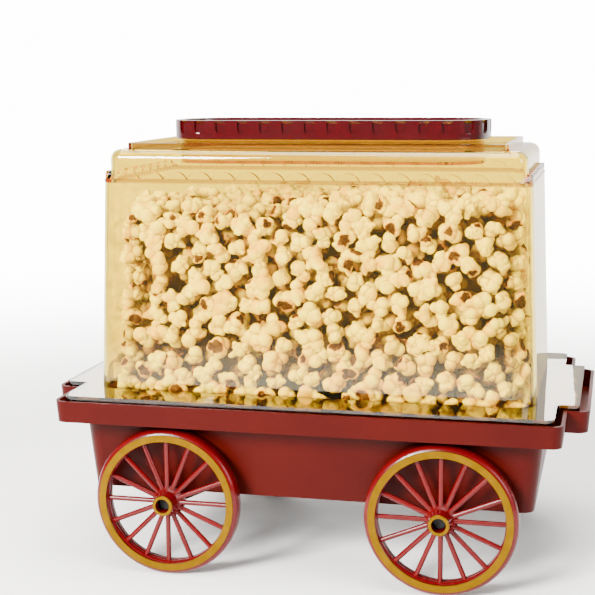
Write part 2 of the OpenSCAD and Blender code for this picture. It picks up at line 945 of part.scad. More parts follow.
motor_screws();
shaft_bush();
thermostat();
thermal_fuse();
drive_shaft();
stir_hub();
stir_arm();
power_inlet();
inlet_pins();
clear_cover();
butter_lid();
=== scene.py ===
import bmesh
import bpy
import json
import math
import random
from mathutils import Matrix, Vector, noise

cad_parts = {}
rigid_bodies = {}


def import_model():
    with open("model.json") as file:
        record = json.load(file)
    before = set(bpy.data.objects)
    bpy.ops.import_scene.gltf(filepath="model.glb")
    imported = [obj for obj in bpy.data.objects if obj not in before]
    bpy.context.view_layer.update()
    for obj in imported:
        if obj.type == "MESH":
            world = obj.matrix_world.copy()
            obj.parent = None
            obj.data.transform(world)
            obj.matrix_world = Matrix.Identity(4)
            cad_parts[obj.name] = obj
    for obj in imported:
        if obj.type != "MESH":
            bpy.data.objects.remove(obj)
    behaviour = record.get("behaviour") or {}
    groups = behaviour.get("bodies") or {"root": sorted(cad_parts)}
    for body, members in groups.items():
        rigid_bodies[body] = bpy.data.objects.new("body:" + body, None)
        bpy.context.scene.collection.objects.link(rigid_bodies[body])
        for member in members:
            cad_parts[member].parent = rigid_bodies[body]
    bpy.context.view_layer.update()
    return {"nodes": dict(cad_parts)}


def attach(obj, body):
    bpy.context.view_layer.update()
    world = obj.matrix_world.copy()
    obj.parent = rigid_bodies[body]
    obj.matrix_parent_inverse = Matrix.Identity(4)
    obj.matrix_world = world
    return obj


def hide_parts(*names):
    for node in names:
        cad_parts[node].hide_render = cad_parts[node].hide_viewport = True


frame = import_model()
mm = 0.001


def linear(code):
    # an sRGB hex value as the linear colour that a shader takes
    parts = [int(code[i:i + 2], 16) / 255 for i in (1, 3, 5)]
    return tuple(c / 12.92 if c <= 0.04045 else ((c + 0.055) / 1.055) ** 2.4 for c in parts) + (1.0,)


def addNode(tree, kind, values=None, links=None, **settings):
    node = tree.nodes.new(kind)
    for name, value in settings.items():
        setattr(node, name, value)
    for socket, value in (values or {}).items():
        node.inputs[socket].default_value = value
    for socket, source in (links or {}).items():
        tree.links.new(source, node.inputs[socket])
    return node


def emptyMaterial(name):
    material = bpy.data.materials.new(name)
    material.use_nodes = True
    material.node_tree.nodes.clear()
    return material, material.node_tree


# One recipe serves the moulded plastics, painted bands and plain metals. tone is how far the colour drifts over
# toneMm, grain is the fine surface that the mould or the mill leaves, and rough is the span of its gloss.
def surfaceMaterial(name, look):
    material, tree = emptyMaterial(name)
    place = addNode(tree, "ShaderNodeTexCoord").outputs["Object"]
    if look.get("stretch"):
        place = addNode(tree, "ShaderNodeMapping", {"Scale": look["stretch"]}, {"Vector": place}).outputs[0]
    drift = addNode(tree, "ShaderNodeTexNoise", {"Scale": 1000 / look["toneMm"], "Detail": 3.0, "Roughness": 0.55},
                    {"Vector": place})
    drifted = addNode(tree, "ShaderNodeMapRange", {"From Min": 0.32, "From Max": 0.68},
                      {"Value": drift.outputs["Fac"]})
    colour = addNode(tree, "ShaderNodeMix", {6: linear(look["base"]), 7: linear(look["tone"])},
                     {0: drifted.outputs[0]}, data_type="RGBA")
    smudge = addNode(tree, "ShaderNodeTexNoise", {"Scale": 1000 / look["smudgeMm"], "Detail": 4.0},
                     {"Vector": place})
    gloss = addNode(tree, "ShaderNodeMapRange", {"From Min": 0.3, "From Max": 0.7, "To Min": look["rough"][0],
                    "To Max": look["rough"][1]}, {"Value": smudge.outputs["Fac"]})
    grain = addNode(tree, "ShaderNodeTexNoise", {"Scale": 1000 / look["grainMm"], "Detail": 2.0}, {"Vector": place})
    bump = addNode(tree, "ShaderNodeBump", {"Strength": look["grain"], "Distance": look["grainMm"] * mm},
                   {"Height": grain.outputs["Fac"]})
    shader = addNode(tree, "ShaderNodeBsdfPrincipled", {"Metallic": look.get("metal", 0.0)},
                     {"Base Color": colour.outputs[2], "Roughness": gloss.outputs[0], "Normal": bump.outputs[0]})
    if "ior" in look:
        shader.inputs["IOR"].default_value = look["ior"]
        shader.inputs["Specular IOR Level"].default_value = look.get("shine", 0.5)
    if "coat" in look:
        shader.inputs["Coat Weight"].default_value = look["coat"]
        shader.inputs["Coat Roughness"].default_value = look.get("coatRough", 0.05)
    if "speck" in look:
        spots = addNode(tree, "ShaderNodeTexVoronoi", {"Scale": 1000 / look["speckMm"]}, {"Vector": place})
        dots = addNode(tree, "ShaderNodeMapRange", {"From Min": 0.12, "From Max": 0.2, "To Min": 1.0,
                       "To Max": 0.0}, {"Value": spots.outputs["Distance"]})
        speckled = addNode(tree, "ShaderNodeMix", {7: linear(look["speck"])},
                           {0: dots.outputs[0], 6: colour.outputs[2]}, data_type="RGBA")
        tree.links.new(speckled.outputs[2], shader.inputs["Base Color"])
    addNode(tree, "ShaderNodeOutputMaterial", None, {"Surface": shader.outputs[0]})
    return material


looks = {
    # polypropylene moulded in a spark-eroded tool: an even satin that blurs the lights
    "satinRedPolypropylene": dict(base="#3C0401", tone="#350301", toneMm=90, smudgeMm=30, rough=(0.34, 0.44),
                                  grainMm=0.5, grain=0.12, ior=1.49, shine=0.08),
    # ABS from a polished tool: deep crimson with sharp highlights
    "glossCrimsonAbs": dict(base="#3B0105", tone="#340104", toneMm=60, smudgeMm=18, rough=(0.06, 0.14),
                            grainMm=2.5, grain=0.03, ior=1.54, coat=0.3),
    # ABS wheel, polished tool, a little brighter than the lid
    "wheelRedAbs": dict(base="#540305", tone="#490204", toneMm=25, smudgeMm=12, rough=(0.16, 0.28),
                        grainMm=1.2, grain=0.05, ior=1.54, shine=0.2),
    # gold foil stamped hot on the wheel faces: soft metal sheen, slightly uneven
    "stampedGoldFoil": dict(base="#745404", tone="#674902", toneMm=9, smudgeMm=5, rough=(0.3, 0.44),
                            grainMm=0.6, grain=0.1, metal=1.0),
    "darkAbs": dict(base="#1E1B1B", tone="#262222", toneMm=40, smudgeMm=14, rough=(0.42, 0.56), grainMm=0.6,
                    grain=0.18, ior=1.54),
    "blackAbs": dict(base="#0D0D0D", tone="#141414", toneMm=20, smudgeMm=8, rough=(0.42, 0.55), grainMm=0.5,
                     grain=0.15, ior=1.54, shine=0.15),
    # PTFE sprayed on stamped aluminium: near black, soft sheen, fine pale flecks
    "nonStickPtfe": dict(base="#15110D", tone="#1E1915", toneMm=18, smudgeMm=9, rough=(0.4, 0.55), grainMm=0.5,
                         grain=0.2, ior=1.4, shine=0.3, speck="#4E4841", speckMm=2.2),
    "zincPlatedSteel": dict(base="#B9BBBE", tone="#A6A69C", toneMm=6, smudgeMm=3, rough=(0.28, 0.42), grainMm=0.4,
                            grain=0.1, metal=1.0),
    "drawnAxleSteel": dict(base="#A9AAAC", tone="#98999B", toneMm=8, smudgeMm=4, rough=(0.24, 0.36), grainMm=0.3,
                           grain=0.12, metal=1.0, stretch=(1, 0.08, 1)),
    "siliconeSeal": dict(base="#3B3533", tone="#453E3B", toneMm=12, smudgeMm=6, rough=(0.55, 0.7), grainMm=0.4,
                         grain=0.1, ior=1.41),
    # sheathed element, oxidised by heat: brown and straw patches on dull steel
    "heatBluedElement": dict(base="#6E655C", tone="#54453A", toneMm=10, smudgeMm=4, rough=(0.36, 0.52), grainMm=0.4,
                             grain=0.15, metal=1.0),
    "pressedAluminium": dict(base="#C9CACB", tone="#BCBDBD", toneMm=25, smudgeMm=10, rough=(0.26, 0.4), grainMm=0.4,
                             grain=0.1, metal=1.0, stretch=(0.15, 1, 1)),
    "motorCanSteel": dict(base="#8E9092", tone="#7E7F80", toneMm=15, smudgeMm=6, rough=(0.3, 0.42), grainMm=0.4,
                          grain=0.1, metal=1.0),
    "sinteredBrass": dict(base="#B08A3E", tone="#9A7631", toneMm=4, smudgeMm=2, rough=(0.34, 0.5), grainMm=0.3,
                          grain=0.25, metal=1.0),
    "glazedCeramic": dict(base="#E6E0D2", tone="#DCD4C2", toneMm=6, smudgeMm=3, rough=(0.2, 0.35), grainMm=0.5,
                          grain=0.1, ior=1.55),
    # blackened axle steel, seen only at the bottom of the hubs
    "blackOxideSteel": dict(base="#141415", tone="#1C1B1B", toneMm=8, smudgeMm=4, rough=(0.34, 0.5), grainMm=0.4,
                            grain=0.12, metal=1.0),
    # stainless rod, tumbled smooth
    "stirRodStainless": dict(base="#C6C4C0", tone="#B7B4AF", toneMm=7, smudgeMm=3, rough=(0.14, 0.26), grainMm=0.3,
                             grain=0.08, metal=1.0),
    "turnedBrass": dict(base="#C49A48", tone="#B38A3C", toneMm=4, smudgeMm=2, rough=(0.18, 0.3), grainMm=0.2,
                        grain=0.12, metal=1.0),
}
finishes = {name: surfaceMaterial(name, look) for name, look in looks.items()}
print("finishes:", len(finishes))


# Styrene-acrylonitrile, moulded clear with a pale amber dye in a polished tool: sharp reflections, a thin wall
# that barely tints, and rims where the longer way through the dye gathers to brown gold. The heights are spans in
# mm: where the flange's top and side end, and the middle and half depth of the ledge line and of the bar.
amberCover = dict(dye="#F0DE5E", rim="#C2A646", shade="#5A5418", lit="#FFFFFF", dense="#F0CC40", depth=45.0,
                  ior=1.55, shine=0.3, rough=0.015, rippleMm=30, ripple=0.02, rippleHighMm=4,
                  flangeTop=(138.5, 139.5), flangeSide=(137.2, 137.9), ledge=(300.7, 1.5), bar=(326.6, 2.6),
                  bounces=5.5)


# 1 below the lower height of the span and 0 above the upper one
def below(tree, height, span):
    return addNode(tree, "ShaderNodeMapRange", {"From Min": span[0] * mm, "From Max": span[1] * mm, "To Min": 1.0,
                   "To Max": 0.0}, {"Value": height}).outputs[0]


def larger(tree, first, second):
    return addNode(tree, "ShaderNodeMath", None, {0: first, 1: second}, operation="MAXIMUM").outputs[0]


def amberMaterial(look):
    material, tree = emptyMaterial("amberClearStyrene")
    place = addNode(tree, "ShaderNodeTexCoord").outputs["Object"]
    ripple = addNode(tree, "ShaderNodeTexNoise", {"Scale": 1000 / look["rippleMm"], "Detail": 1.0},
                     {"Vector": place})
    bump = addNode(tree, "ShaderNodeBump", {"Strength": look["ripple"], "Distance": look["rippleHighMm"] * mm},
                   {"Height": ripple.outputs["Fac"]})
    # the flange at the foot, the ledge line and the bar under the lid are seen along their plastic, so they hold
    # more dye;
    # the flange's side is darker still, deeper dye and painted shade together
    height = addNode(tree, "ShaderNodeSeparateXYZ", None, {0: place}).outputs["Z"]
    lines = [addNode(tree, "ShaderNodeMath", {1: look[name][0] * mm, 2: look[name][1] * mm}, {0: height},
                     operation="COMPARE").outputs[0] for name in ("ledge", "bar")]
    rims = larger(tree, below(tree, height, look["flangeTop"]), larger(tree, *lines))
    rimmed = addNode(tree, "ShaderNodeMix", {6: linear(look["dye"]), 7: linear(look["rim"])}, {0: rims},
                     data_type="RGBA")
    # painted shade: the flange's side is mixed to the dark shade colour
    dye = addNode(tree, "ShaderNodeMix", {7: linear(look["shade"])},
                  {0: below(tree, height, look["flangeSide"]), 6: rimmed.outputs[2]}, data_type="RGBA")
    glass = addNode(tree, "ShaderNodeBsdfPrincipled",
                    {"Roughness": look["rough"], "IOR": look["ior"], "Specular IOR Level": look["shine"],
                     "Transmission Weight": 1.0}, {"Base Color": dye.outputs[2], "Normal": bump.outputs[0]})
    # lamps and bounced light pass straight through, so that what is inside is lit as through a real thin wall
    through = addNode(tree, "ShaderNodeBsdfTransparent", {"Color": linear(look["lit"])})
    path = addNode(tree, "ShaderNodeLightPath").outputs
    # light that has run along inside a rim for many turns leaves it, as it would at the real rim's rounded end
    trapped = addNode(tree, "ShaderNodeMath", {1: look["bounces"]}, {0: path["Ray Depth"]},
                      operation="GREATER_THAN")
    lets = larger(tree, larger(tree, path["Is Shadow Ray"], path["Is Diffuse Ray"]), trapped.outputs[0])
    mixed = addNode(tree, "ShaderNodeMixShader", None, {0: lets, 1: glass.outputs[0], 2: through.outputs[0]})
    dyed = addNode(tree, "ShaderNodeVolumeAbsorption", {"Color": linear(look["dense"]), "Density": look["depth"]})
    addNode(tree, "ShaderNodeOutputMaterial", None, {"Surface": mixed.outputs[0], "Volume": dyed.outputs[0]})
    return material


finishes["amberClearStyrene"] = amberMaterial(amberCover)

nodeFinish = {
    "wagon_tub": "satinRedPolypropylene", "bottom_cover": "darkAbs", "bottom_screws": "zincPlatedSteel",
    "axle_left": "blackOxideSteel", "axle_right": "blackOxideSteel", "axle_caps": "blackAbs",
    "popping_plate": "nonStickPtfe", "plate_seal": "siliconeSeal", "heating_element": "heatBluedElement",
    "heat_shield": "pressedAluminium", "plate_studs": "zincPlatedSteel", "stud_nuts": "zincPlatedSteel",
    "motor_bracket": "zincPlatedSteel", "gearmotor": "motorCanSteel", "motor_screws": "zincPlatedSteel",
    "shaft_bush": "sinteredBrass", "thermostat": "glazedCeramic", "thermal_fuse": "glazedCeramic",
    "drive_shaft": "drawnAxleSteel", "stir_hub": "blackAbs", "stir_arm": "stirRodStainless",
    "power_inlet": "blackAbs", "inlet_pins": "turnedBrass", "clear_cover": "amberClearStyrene",
    "butter_lid": "glossCrimsonAbs",
}
for corner in ("fl", "fr", "rl", "rr"):
    nodeFinish["wheel_" + corner] = "wheelRedAbs"
    nodeFinish["rim_ring_" + corner] = "stampedGoldFoil"
    nodeFinish["hub_ring_" + corner] = "stampedGoldFoil"
for node, finish in nodeFinish.items():
    held = frame["nodes"][node]
    if not held.material_slots:
        held.data.materials.append(finishes[finish])
    for part in held.material_slots:
        part.material = finishes[finish]
print("CAD nodes finished:", len(nodeFinish))


# A copy of a CAD node with its triangles joined to flat faces and its edges softened as a mould leaves them.
def softened(node, name, edge, steps=2, angle=28):
    source = frame["nodes"][node]
    mesh = bpy.data.meshes.new(name)
    shape = bmesh.new()
    shape.from_mesh(source.data)
    shape.transform(source.matrix_world)
    bmesh.ops.remove_doubles(shape, verts=shape.verts, dist=0.004 * mm)
    bmesh.ops.dissolve_degenerate(shape, edges=shape.edges, dist=0.002 * mm)
    if edge:
        bmesh.ops.dissolve_limit(shape, angle_limit=math.radians(0.6), verts=shape.verts, edges=shape.edges)
    for face in shape.faces:
        face.smooth = True
    for crease in shape.edges:
        crease.smooth = len(crease.link_faces) == 2 and crease.calc_face_angle() < math.radians(angle)
    shape.to_mesh(mesh)
    shape.free()
    mesh.validate()
    for slot in source.material_slots:
        mesh.materials.append(slot.material)
    piece = bpy.data.objects.new(name, mesh)
    bpy.context.collection.objects.link(piece)
    if edge:
        bevel = piece.modifiers.new("edges", "BEVEL")
        bevel.width = edge * mm
        bevel.segments = steps
        bevel.limit_method = "ANGLE"
        bevel.angle_limit = math.radians(angle)
        bevel.harden_normals = True
        bevel.use_clamp_overlap = True
        bevel.miter_outer = "MITER_ARC"
    weigh = piece.modifiers.new("even shading", "WEIGHTED_NORMAL")
    weigh.keep_sharp = True
    return piece


for node, body, name, edge in (("wagon_tub", "base", "wagonTubMoulding", 0.5),
                               ("butter_lid", "lid", "butterLidMoulding", 0.9),
                               ("clear_cover", "cover", "clearCoverMoulding", 0)):
    piece = softened(node, name, edge)
    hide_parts(node)
    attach(piece, body)
print("mouldings made")


# The inner face of the clear cover, as half sizes at its foot and the lean up to the ledge.
coverHollow = dict(halfX=168.5 * mm, halfY=84.6 * mm, corner=14.8 * mm, lean=6.2 * mm, foot=137.6 * mm,
                   high=161.1 * mm, ridgeTop=127.6 * mm, ridgeX=165.5 * mm, ridgeY=81.6 * mm, gap=0.7 * mm)
stirrerRoom = dict(radius=67 * mm, top=144.5 * mm, over=5 * mm)


def hollowAt(z):
    up = min(max((z - coverHollow["foot"]) / coverHollow["high"], 0.0), 1.0)
    lean = coverHollow["lean"] * up
    halfX, halfY = coverHollow["halfX"] - lean, coverHollow["halfY"] - lean
    if z < coverHollow["ridgeTop"]:
        halfX, halfY = coverHollow["ridgeX"], coverHollow["ridgeY"]
    return halfX, halfY, coverHollow["corner"] - lean


# keeps a point of the heap inside the cover and out of the stirrer's sweep
def keptInside(point):
    halfX, halfY, corner = hollowAt(point.z)
    halfX, halfY = halfX - coverHollow["gap"], halfY - coverHollow["gap"]
    x, y = abs(point.x), abs(point.y)
    overX, overY = x - (halfX - corner), y - (halfY - corner)
    if overX > 0 and overY > 0 and math.hypot(overX, overY) > corner:
        pull = corner / math.hypot(overX, overY)
        x, y = halfX - corner + overX * pull, halfY - corner + overY * pull
    x, y = min(x, halfX), min(y, halfY)
    reach = math.hypot(x, y)
    if point.z < stirrerRoom["top"] and 0 < reach < stirrerRoom["radius"]:
        x, y = x * stirrerRoom["radius"] / reach, y * stirrerRoom["radius"] / reach
    return Vector((math.copysign(x, point.x), math.copysign(y, point.y), max(point.z, heapLook["floor"])))


# Popped kernels are about 20 mm across: a few foam lobes that burst out of one hull, with smaller buds on them.
heapLook = dict(seed=17, radius=10.0, halfLength=170, squareness=7, floor=124.4 * mm, top=281.0, rise=5.0,
                riseOver=0.16, lump=9.0, lumpMm=62.0, small=4, smallMm=22, topKernel=12 * mm, depthShadeFrom=9 * mm,
                depthShadeOver=12 * mm)
# In kernel radii: a core, lobes out from it, and buds on the lobes. Where two lobes meet the foam folds in, and
# round the place where the kernel burst it is dented and carries the hull.
kernelForm = dict(core=0.46, lobes=(4, 6), lobeSize=(0.40, 0.56), lobeOut=(0.72, 1.0), buds=(8, 13),
                  budSize=(0.15, 0.27), budLean=0.7, budOut=0.82, hulled=0.8, wrinkleTurns=2.6, wrinkle=0.07,
                  foldDeep=0.1, foldWide=0.09, foldMost=1.45, foldLoss=1.3, burstFrom=0.6, burstSpan=0.26,
                  burstWave=0.16, dentFrom=0.6, dent=0.4)
kernelShapes = dict(fine=dict(count=40, detail=4), coarse=dict(count=16, detail=3))


def lobeReach(way, centre, radius):
    along = way.dot(centre)
    inside = radius * radius - centre.length_squared + along * along
    return along + math.sqrt(inside) if inside > 0 else 0.0


def kernelMesh(name, seed, detail, form):
    chance = random.Random(seed)

    def anyWay():
        return Vector((chance.gauss(0, 1), chance.gauss(0, 1), chance.gauss(0, 1))).normalized()

    lobes = [(Vector((0, 0, 0)), form["core"])]
    for _ in range(chance.randint(*form["lobes"])):
        radius = chance.uniform(*form["lobeSize"])
        lobes.append((anyWay() * radius * chance.uniform(*form["lobeOut"]), radius))
    for _ in range(chance.randint(*form["buds"])):
        host = chance.choice(lobes[1:])
        radius = chance.uniform(*form["budSize"])
        out = (host[0].normalized() * form["budLean"] + anyWay()).normalized()
        lobes.append((host[0] + out * host[1] * form["budOut"], radius))
    burst = anyWay()
    hulled = chance.random() < form["hulled"]
    shape = bmesh.new()
    bmesh.ops.create_icosphere(shape, subdivisions=detail, radius=1.0)
    crease = shape.verts.layers.float.new("crease")
    hull = shape.verts.layers.float.new("hull")
    shift = anyWay() * 9
    for vert in shape.verts:
        way = vert.co.normalized()
        reach = sorted((lobeReach(way, centre, radius) for centre, radius in lobes), reverse=True)
        wrinkle = noise.noise(way * form["wrinkleTurns"] + shift)
        # folds show where two lobes reach as far as each other, and less on the outermost foam; the material paints
        # shade along them
        meeting = max(0.0, 1 - (reach[0] - reach[1]) / form["foldWide"])
        vert[crease] = meeting * min(max(form["foldMost"] - form["foldLoss"] * reach[0], 0.0), 1.0)
        vert.co = way * (reach[0] * (1 + form["wrinkle"] * wrinkle - form["foldDeep"] * vert[crease]))
        near = way.dot(burst) + form["burstWave"] * wrinkle
        vert[hull] = min(max((near - form["burstFrom"]) / form["burstSpan"], 0.0), 1.0) if hulled else 0.0
        if vert[hull] > form["dentFrom"]:
            vert.co *= 1 - form["dent"] * (vert[hull] - form["dentFrom"])
    mesh = bpy.data.meshes.new(name)
    for face in shape.faces:
        face.smooth = True
    shape.to_mesh(mesh)
    shape.free()
    return bpy.data.objects.new(name, mesh)


# how far a point of the heap lies behind the kernels that face the cover, from 0 to 1: the amount of painted shade
# it gets
def depthShadeAt(point):
    halfX, halfY = hollowAt(point.z)[:2]
    under = heapLook["top"] * mm + heapLook["topKernel"] - point.z
    near = min(halfX - abs(point.x), halfY - abs(point.y), under)
    return min(max((near - heapLook["depthShadeFrom"]) / heapLook["depthShadeOver"], 0.0), 1.0)


# rings round the heap: up the walls, inset from the cover, then in over its lumpy top
def heapSkin(name, inset, low, spare, span):
    sides, levels, capRings = 120, 22, 12
    shape = bmesh.new()

    def edge(turn, z):
        halfX, halfY = hollowAt(max(z, coverHollow["foot"]))[:2]
        halfX, halfY = halfX - inset, halfY - inset
        angle, power = turn * 2 * math.pi, heapLook["squareness"]
        squared = (abs(math.cos(angle) / halfX) ** power + abs(math.sin(angle) / halfY) ** power) ** (-1 / power)
        return Vector((math.cos(angle) * squared, math.sin(angle) * squared, z))

    def topAt(x, y):
        lumps = noise.noise(Vector((x, y, 0.3)) / (heapLook["lumpMm"] * mm))
        small = noise.noise(Vector((x + 1, y, 0.7)) / (heapLook["smallMm"] * mm))
        top = heapLook["top"] + heapLook["rise"] * x / heapLook["riseOver"] + heapLook["lump"] * lumps
        return (top + heapLook["small"] * small) * mm - spare

    rings = []
    for level in range(levels + 1):
        ring = []
        for i in range(sides):
            foot = edge(i / sides, low)
            high = topAt(foot.x, foot.y)
            ring.append(shape.verts.new(edge(i / sides, low + (high - low) * level / levels)))
        rings.append(ring)
    for k in range(1, capRings):
        shrink = 1 - k / capRings
        ring = []
        for i in range(sides):
            rim = rings[levels][i].co
            x, y = rim.x * shrink, rim.y * shrink
            ring.append(shape.verts.new((x, y, topAt(x, y))))
        rings.append(ring)
    for lower, upper in zip(rings, rings[1:]):
        for i in range(sides):
            j = (i + 1) % sides
            shape.faces.new((lower[i], lower[j], upper[j], upper[i]))
    shape.faces.new(rings[-1])
    blocked = [f for f in shape.faces if math.hypot(*f.calc_center_median().xy) < stirrerRoom["radius"]
               and f.calc_center_median().z < stirrerRoom["top"] + stirrerRoom["over"]]
    blocked += [f for f in shape.faces if f not in blocked and not span[0] <= f.calc_center_median().x < span[1]]
    bmesh.ops.delete(shape, geom=blocked, context="FACES")
    mesh = bpy.data.meshes.new(name)
    shape.to_mesh(mesh)
    shape.free()
    skin = bpy.data.objects.new(name, mesh)
    bpy.context.collection.objects.link(skin)
    return skin


scatterLook = dict(density=60000.0, turn=6.283, sizes=(0.84, 1.16))


# Points no closer than the spacing on the heap's skin, each with one of the kernels, turned and sized at random.
def scatterTree(look):
    tree = bpy.data.node_groups.new("scatterKernels", "GeometryNodeTree")
    for name, kind in (("Heap", "NodeSocketGeometry"), ("Kernels", "NodeSocketCollection"),
                       ("Spacing", "NodeSocketFloat"), ("Size", "NodeSocketFloat"), ("Seed", "NodeSocketInt"),
                       ("Finish", "NodeSocketMaterial")):
        tree.interface.new_socket(name, in_out="INPUT", socket_type=kind)
    tree.interface.new_socket("Kernels", in_out="OUTPUT", socket_type="NodeSocketGeometry")
    given = addNode(tree, "NodeGroupInput").outputs
    spots = addNode(tree, "GeometryNodeDistributePointsOnFaces", {"Density Max": look["density"]},
                    {"Mesh": given["Heap"], "Distance Min": given["Spacing"], "Seed": given["Seed"]},
                    distribute_method="POISSON")
    shapes = addNode(tree, "GeometryNodeCollectionInfo", {"Separate Children": True, "Reset Children": True},
                     {"Collection": given["Kernels"]})
    turn = addNode(tree, "FunctionNodeRandomValue", {0: (0, 0, 0), 1: (look["turn"],) * 3},
                   {"Seed": given["Seed"]}, data_type="FLOAT_VECTOR")
    size = addNode(tree, "FunctionNodeRandomValue", {2: look["sizes"][0], 3: look["sizes"][1]},
                   {"Seed": given["Seed"]}, data_type="FLOAT")
    scale = addNode(tree, "ShaderNodeMath", None, {0: size.outputs[1], 1: given["Size"]}, operation="MULTIPLY")
    placed = addNode(tree, "GeometryNodeInstanceOnPoints", {"Pick Instance": True},
                     {"Points": spots.outputs["Points"], "Instance": shapes.outputs[0],
                      "Rotation": turn.outputs[0], "Scale": scale.outputs[0]})
    tone = addNode(tree, "FunctionNodeRandomValue", {2: 0.0, 3: 1.0}, {"Seed": given["Seed"]},
                   data_type="FLOAT")
    toned = addNode(tree, "GeometryNodeStoreNamedAttribute", {"Name": "tone"},
                    {"Geometry": placed.outputs[0], "Value": tone.outputs[1]}, data_type="FLOAT",
                    domain="INSTANCE")
    real = addNode(tree, "GeometryNodeRealizeInstances", None, {"Geometry": toned.outputs[0]})
    finished = addNode(tree, "GeometryNodeSetMaterial", None,
                       {"Geometry": real.outputs[0], "Material": given["Finish"]})
    addNode(tree, "NodeGroupOutput", None, {0: finished.outputs[0]})
    return tree


def setInputs(modifier, tree, values):
    sockets = {item.name: item.identifier for item in tree.interface.items_tree if item.in_out == "INPUT"}
    for name, value in values.items():
        modifier[sockets[name]] = value


# the modifier's result as a plain mesh object, with the helper object gone
def madePlain(source, name):
    seen = source.evaluated_get(bpy.context.evaluated_depsgraph_get())
    mesh = bpy.data.meshes.new_from_object(seen)
    mesh.name = name
    bpy.data.objects.remove(source)
    piece = bpy.data.objects.new(name, mesh)
    bpy.context.collection.objects.link(piece)
    return piece


# Popped maize: matt starch foam, cream where it swelled and buttery yellow in patches, with painted shade in brown
# gold in the folds and further in the heap, and toasted brown hull where each kernel burst. Spans say where on a
# mask a tint starts and ends.
cornLook = dict(cream="#FAE63C", pale="#FFF784", butter="#F0BA12", shadeBrown="#7A4A04", toast="#D98A14",
                hull="#3A1403", tonePush=0.22, butterMm=13, butterSpan=(0.46, 0.7), butterMost=0.85,
                toastSpan=(0.1, 0.7), toastMost=0.85, hullSpan=(0.66, 0.76), foldMost=0.8, depthShadeMost=0.85,
                foamMm=1.6, foamHighMm=0.5, bump=0.35, pitMm=0.7, pitDeep=0.3, rough=(0.5, 0.72), ior=1.45,
                shine=0.35)


# 0 below the span, then up to most at its end
def spanned(tree, span, value, most):
    return addNode(tree, "ShaderNodeMapRange", {"From Min": span[0], "From Max": span[1], "To Max": most},
                   {"Value": value}).outputs[0]


def cornMaterial(name, look):
    material, tree = emptyMaterial(name)
    place = addNode(tree, "ShaderNodeTexCoord").outputs["Object"]
    tone = addNode(tree, "ShaderNodeAttribute", attribute_name="tone").outputs["Fac"]
    crease = addNode(tree, "ShaderNodeAttribute", attribute_name="crease").outputs["Fac"]
    hull = addNode(tree, "ShaderNodeAttribute", attribute_name="hull").outputs["Fac"]
    patch = addNode(tree, "ShaderNodeTexNoise", {"Scale": 1000 / look["butterMm"], "Detail": 3.0},
                    {"Vector": place})
    pushed = addNode(tree, "ShaderNodeMath", {1: look["tonePush"], 2: -look["tonePush"] / 2}, {0: tone},
                     operation="MULTIPLY_ADD")
    buttery = addNode(tree, "ShaderNodeMath", None, {0: patch.outputs["Fac"], 1: pushed.outputs[0]},
                      operation="ADD")
    amount = spanned(tree, look["butterSpan"], buttery.outputs[0], look["butterMost"])
    base = addNode(tree, "ShaderNodeMix", {6: linear(look["cream"]), 7: linear(look["pale"])}, {0: tone},
                   data_type="RGBA")
    yellow = addNode(tree, "ShaderNodeMix", {7: linear(look["butter"])}, {0: amount, 6: base.outputs[2]},
                     data_type="RGBA")
    # painted shade: kernels lying further in from the cover are mixed toward the shade brown
    depthShadeMask = addNode(tree, "ShaderNodeAttribute", attribute_name="paintedShade").outputs["Fac"]
    depthShadeAmount = addNode(tree, "ShaderNodeMath", {1: look["depthShadeMost"]}, {0: depthShadeMask}, operation="MULTIPLY")
    # painted shade in the folds between lobes, added to the shade by depth
    foldAndDepthShade = addNode(tree, "ShaderNodeMath", {1: look["foldMost"]}, {0: crease, 2: depthShadeAmount.outputs[0]},
                     operation="MULTIPLY_ADD", use_clamp=True)
    paintedShade = addNode(tree, "ShaderNodeMix", {7: linear(look["shadeBrown"])}, {0: foldAndDepthShade.outputs[0], 6: yellow.outputs[2]},
                   data_type="RGBA")
    # toasted gold round the place where it burst, and the dark hull inside that
    toasted = spanned(tree, look["toastSpan"], hull, look["toastMost"])
    golden = addNode(tree, "ShaderNodeMix", {7: linear(look["toast"])}, {0: toasted, 6: paintedShade.outputs[2]},
                     data_type="RGBA")
    scrap = spanned(tree, look["hullSpan"], hull, 1.0)
    browned = addNode(tree, "ShaderNodeMix", {7: linear(look["hull"])}, {0: scrap, 6: golden.outputs[2]},
                      data_type="RGBA")
    foam = addNode(tree, "ShaderNodeTexNoise", {"Scale": 1000 / look["foamMm"], "Detail": 3.0}, {"Vector": place})
    pits = addNode(tree, "ShaderNodeTexVoronoi", {"Scale": 1000 / look["pitMm"]}, {"Vector": place})
    both = addNode(tree, "ShaderNodeMath", {1: look["pitDeep"]},
                   {0: pits.outputs["Distance"], 2: foam.outputs["Fac"]}, operation="MULTIPLY_ADD")
    bump = addNode(tree, "ShaderNodeBump", {"Strength": look["bump"], "Distance": look["foamHighMm"] * mm},
                   {"Height": both.outputs[0]})
    gloss = addNode(tree, "ShaderNodeMapRange", {"From Min": 0.3, "From Max": 0.7, "To Min": look["rough"][0],
                    "To Max": look["rough"][1]}, {"Value": foam.outputs["Fac"]})
    shader = addNode(tree, "ShaderNodeBsdfPrincipled", {"IOR": look["ior"], "Specular IOR Level": look["shine"]},
                     {"Base Color": browned.outputs[2], "Roughness": gloss.outputs[0], "Normal": bump.outputs[0]})
    addNode(tree, "ShaderNodeOutputMaterial", None, {"Surface": shader.outputs[0]})
    return material


finishes["poppedMaize"] = cornMaterial("poppedMaize", cornLook)
scatter = scatterTree(scatterLook)

layers = [
    dict(name="popcornOuter", inset=9.6 * mm, low=133 * mm, top=0.0, spacing=14.2 * mm, shapes="fine", seed=3,
         parts=8),
    dict(name="popcornInner", inset=23 * mm, low=134 * mm, top=13 * mm, spacing=14.0 * mm, shapes="coarse", seed=8,
         parts=3),
]


